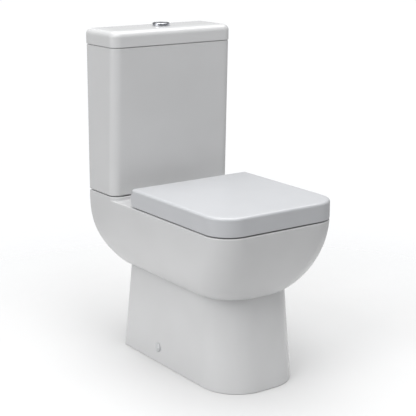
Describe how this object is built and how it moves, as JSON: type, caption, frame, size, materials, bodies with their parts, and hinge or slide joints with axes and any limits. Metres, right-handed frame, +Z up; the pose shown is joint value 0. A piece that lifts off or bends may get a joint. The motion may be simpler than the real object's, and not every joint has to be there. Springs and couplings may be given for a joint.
{
  "type": "close coupled toilet",
  "caption": "Floor-standing ceramic toilet with a cistern coupled to the pan's deck, a lifting seat and wrap-over cover, and a push-button flush.",
  "frame": {"origin": "on the floor under the middle of the bounding box, on the toilet's middle plane", "axes": "+Z up, -Y towards the front of the seat, +Y towards the wall, +X across the width, with the fill valve on the +X side"},
  "size_m": [0.3546, 0.5792, 0.8397],
  "materials": {
    "glaze": "smooth white glaze, high gloss",
    "seat_plastic": "smooth moulded, gloss, slightly cooler white than the glaze",
    "chrome": "polished",
    "steel": "zinc plated, dull",
    "white_plastic": "moulded, matt",
    "blue_plastic": "moulded, matt",
    "grey_plastic": "moulded, matt",
    "rubber": "matt"
  },
  "bodies": {
    "base": {"pan": "glaze", "cistern": "glaze", "hinge_base_left": "chrome", "hinge_base_right": "chrome", "hinge_post_left": "chrome", "hinge_post_right": "chrome", "side_screw_left": "steel", "side_screw_right": "steel", "floor_screw_left": "steel", "floor_screw_right": "steel", "coupling_bolt_left": "steel", "coupling_bolt_right": "steel", "coupling_washer_left": "steel", "coupling_washer_right": "steel", "coupling_nut_left": "steel", "coupling_nut_right": "steel", "hinge_pin_left": "steel", "hinge_pin_right": "steel", "screw_cap_left": "white_plastic", "screw_cap_right": "white_plastic", "floor_bracket_left": "white_plastic", "floor_bracket_right": "white_plastic", "seat_nut_left": "white_plastic", "seat_nut_right": "white_plastic", "flush_back_nut": "white_plastic", "flush_valve_base": "white_plastic", "flush_valve_cage": "white_plastic", "fill_valve_body": "white_plastic", "fill_valve_nut": "white_plastic", "flush_valve_head": "blue_plastic", "fill_valve_head": "grey_plastic", "cistern_pad_left": "rubber", "cistern_pad_right": "rubber", "coupling_seal_left": "rubber", "coupling_seal_right": "rubber", "coupling_gasket": "rubber", "flush_base_seal": "rubber", "fill_valve_seal": "rubber", "seat_bush_left": "rubber", "seat_bush_right": "rubber"},
    "lid": {"cistern_lid": "glaze", "button_bezel": "chrome", "button_nut": "white_plastic"},
    "full_button": {"button_full": "chrome"},
    "half_button": {"button_half": "chrome"},
    "full_plunger": {"plunger_full": "grey_plastic"},
    "half_plunger": {"plunger_half": "grey_plastic"},
    "flush_valve": {"overflow_tube": "blue_plastic", "flush_seal": "rubber"},
    "float_lever": {"float_arm": "grey_plastic", "float": "blue_plastic"},
    "seat": {"seat_ring": "seat_plastic", "seat_buffer_front_left": "rubber", "seat_buffer_front_right": "rubber", "seat_buffer_back_left": "rubber", "seat_buffer_back_right": "rubber"},
    "cover": {"seat_cover": "seat_plastic", "cover_buffer_left": "rubber", "cover_buffer_right": "rubber"}
  },
  "joints": [
    {"name": "lid_lift", "type": "slide", "parent": "base", "child": "lid", "axis": [0, 0, 1], "range_m": [0, 0.16]},
    {"name": "full_press", "type": "slide", "parent": "lid", "child": "full_button", "axis": [0, 0, -1], "range_m": [0, 0.008], "stiffness_N_per_m": 300, "springref_m": -0.008},
    {"name": "half_press", "type": "slide", "parent": "lid", "child": "half_button", "axis": [0, 0, -1], "range_m": [0, 0.008], "stiffness_N_per_m": 300, "springref_m": -0.008},
    {"name": "full_plunger_slide", "type": "slide", "parent": "base", "child": "full_plunger", "axis": [0, 0, -1], "range_m": [0, 0.008]},
    {"name": "half_plunger_slide", "type": "slide", "parent": "base", "child": "half_plunger", "axis": [0, 0, -1], "range_m": [0, 0.008]},
    {"name": "valve_lift", "type": "slide", "parent": "base", "child": "flush_valve", "axis": [0, 0, 1], "range_m": [0, 0.014]},
    {"name": "float_swing", "type": "hinge", "parent": "base", "child": "float_lever", "pos_m": [0.102, 0.2304, 0.655], "axis": [0, 1, 0], "range_deg": [0, 28]},
    {"name": "seat_lift", "type": "hinge", "parent": "base", "child": "seat", "pos_m": [0, 0.0795, 0.427], "axis": [-1, 0, 0], "range_deg": [0, 96]},
    {"name": "cover_open", "type": "hinge", "parent": "seat", "child": "cover", "pos_m": [0, 0.0795, 0.427], "axis": [1, 0, 0], "range_deg": [-96, 0]}
  ],
  "couplings": [
    {"joint": "full_plunger_slide", "follows": "full_press", "ratio": 1},
    {"joint": "half_plunger_slide", "follows": "half_press", "ratio": 1},
    {"joint": "valve_lift", "follows": "full_press", "ratio": 1.75}
  ]
}
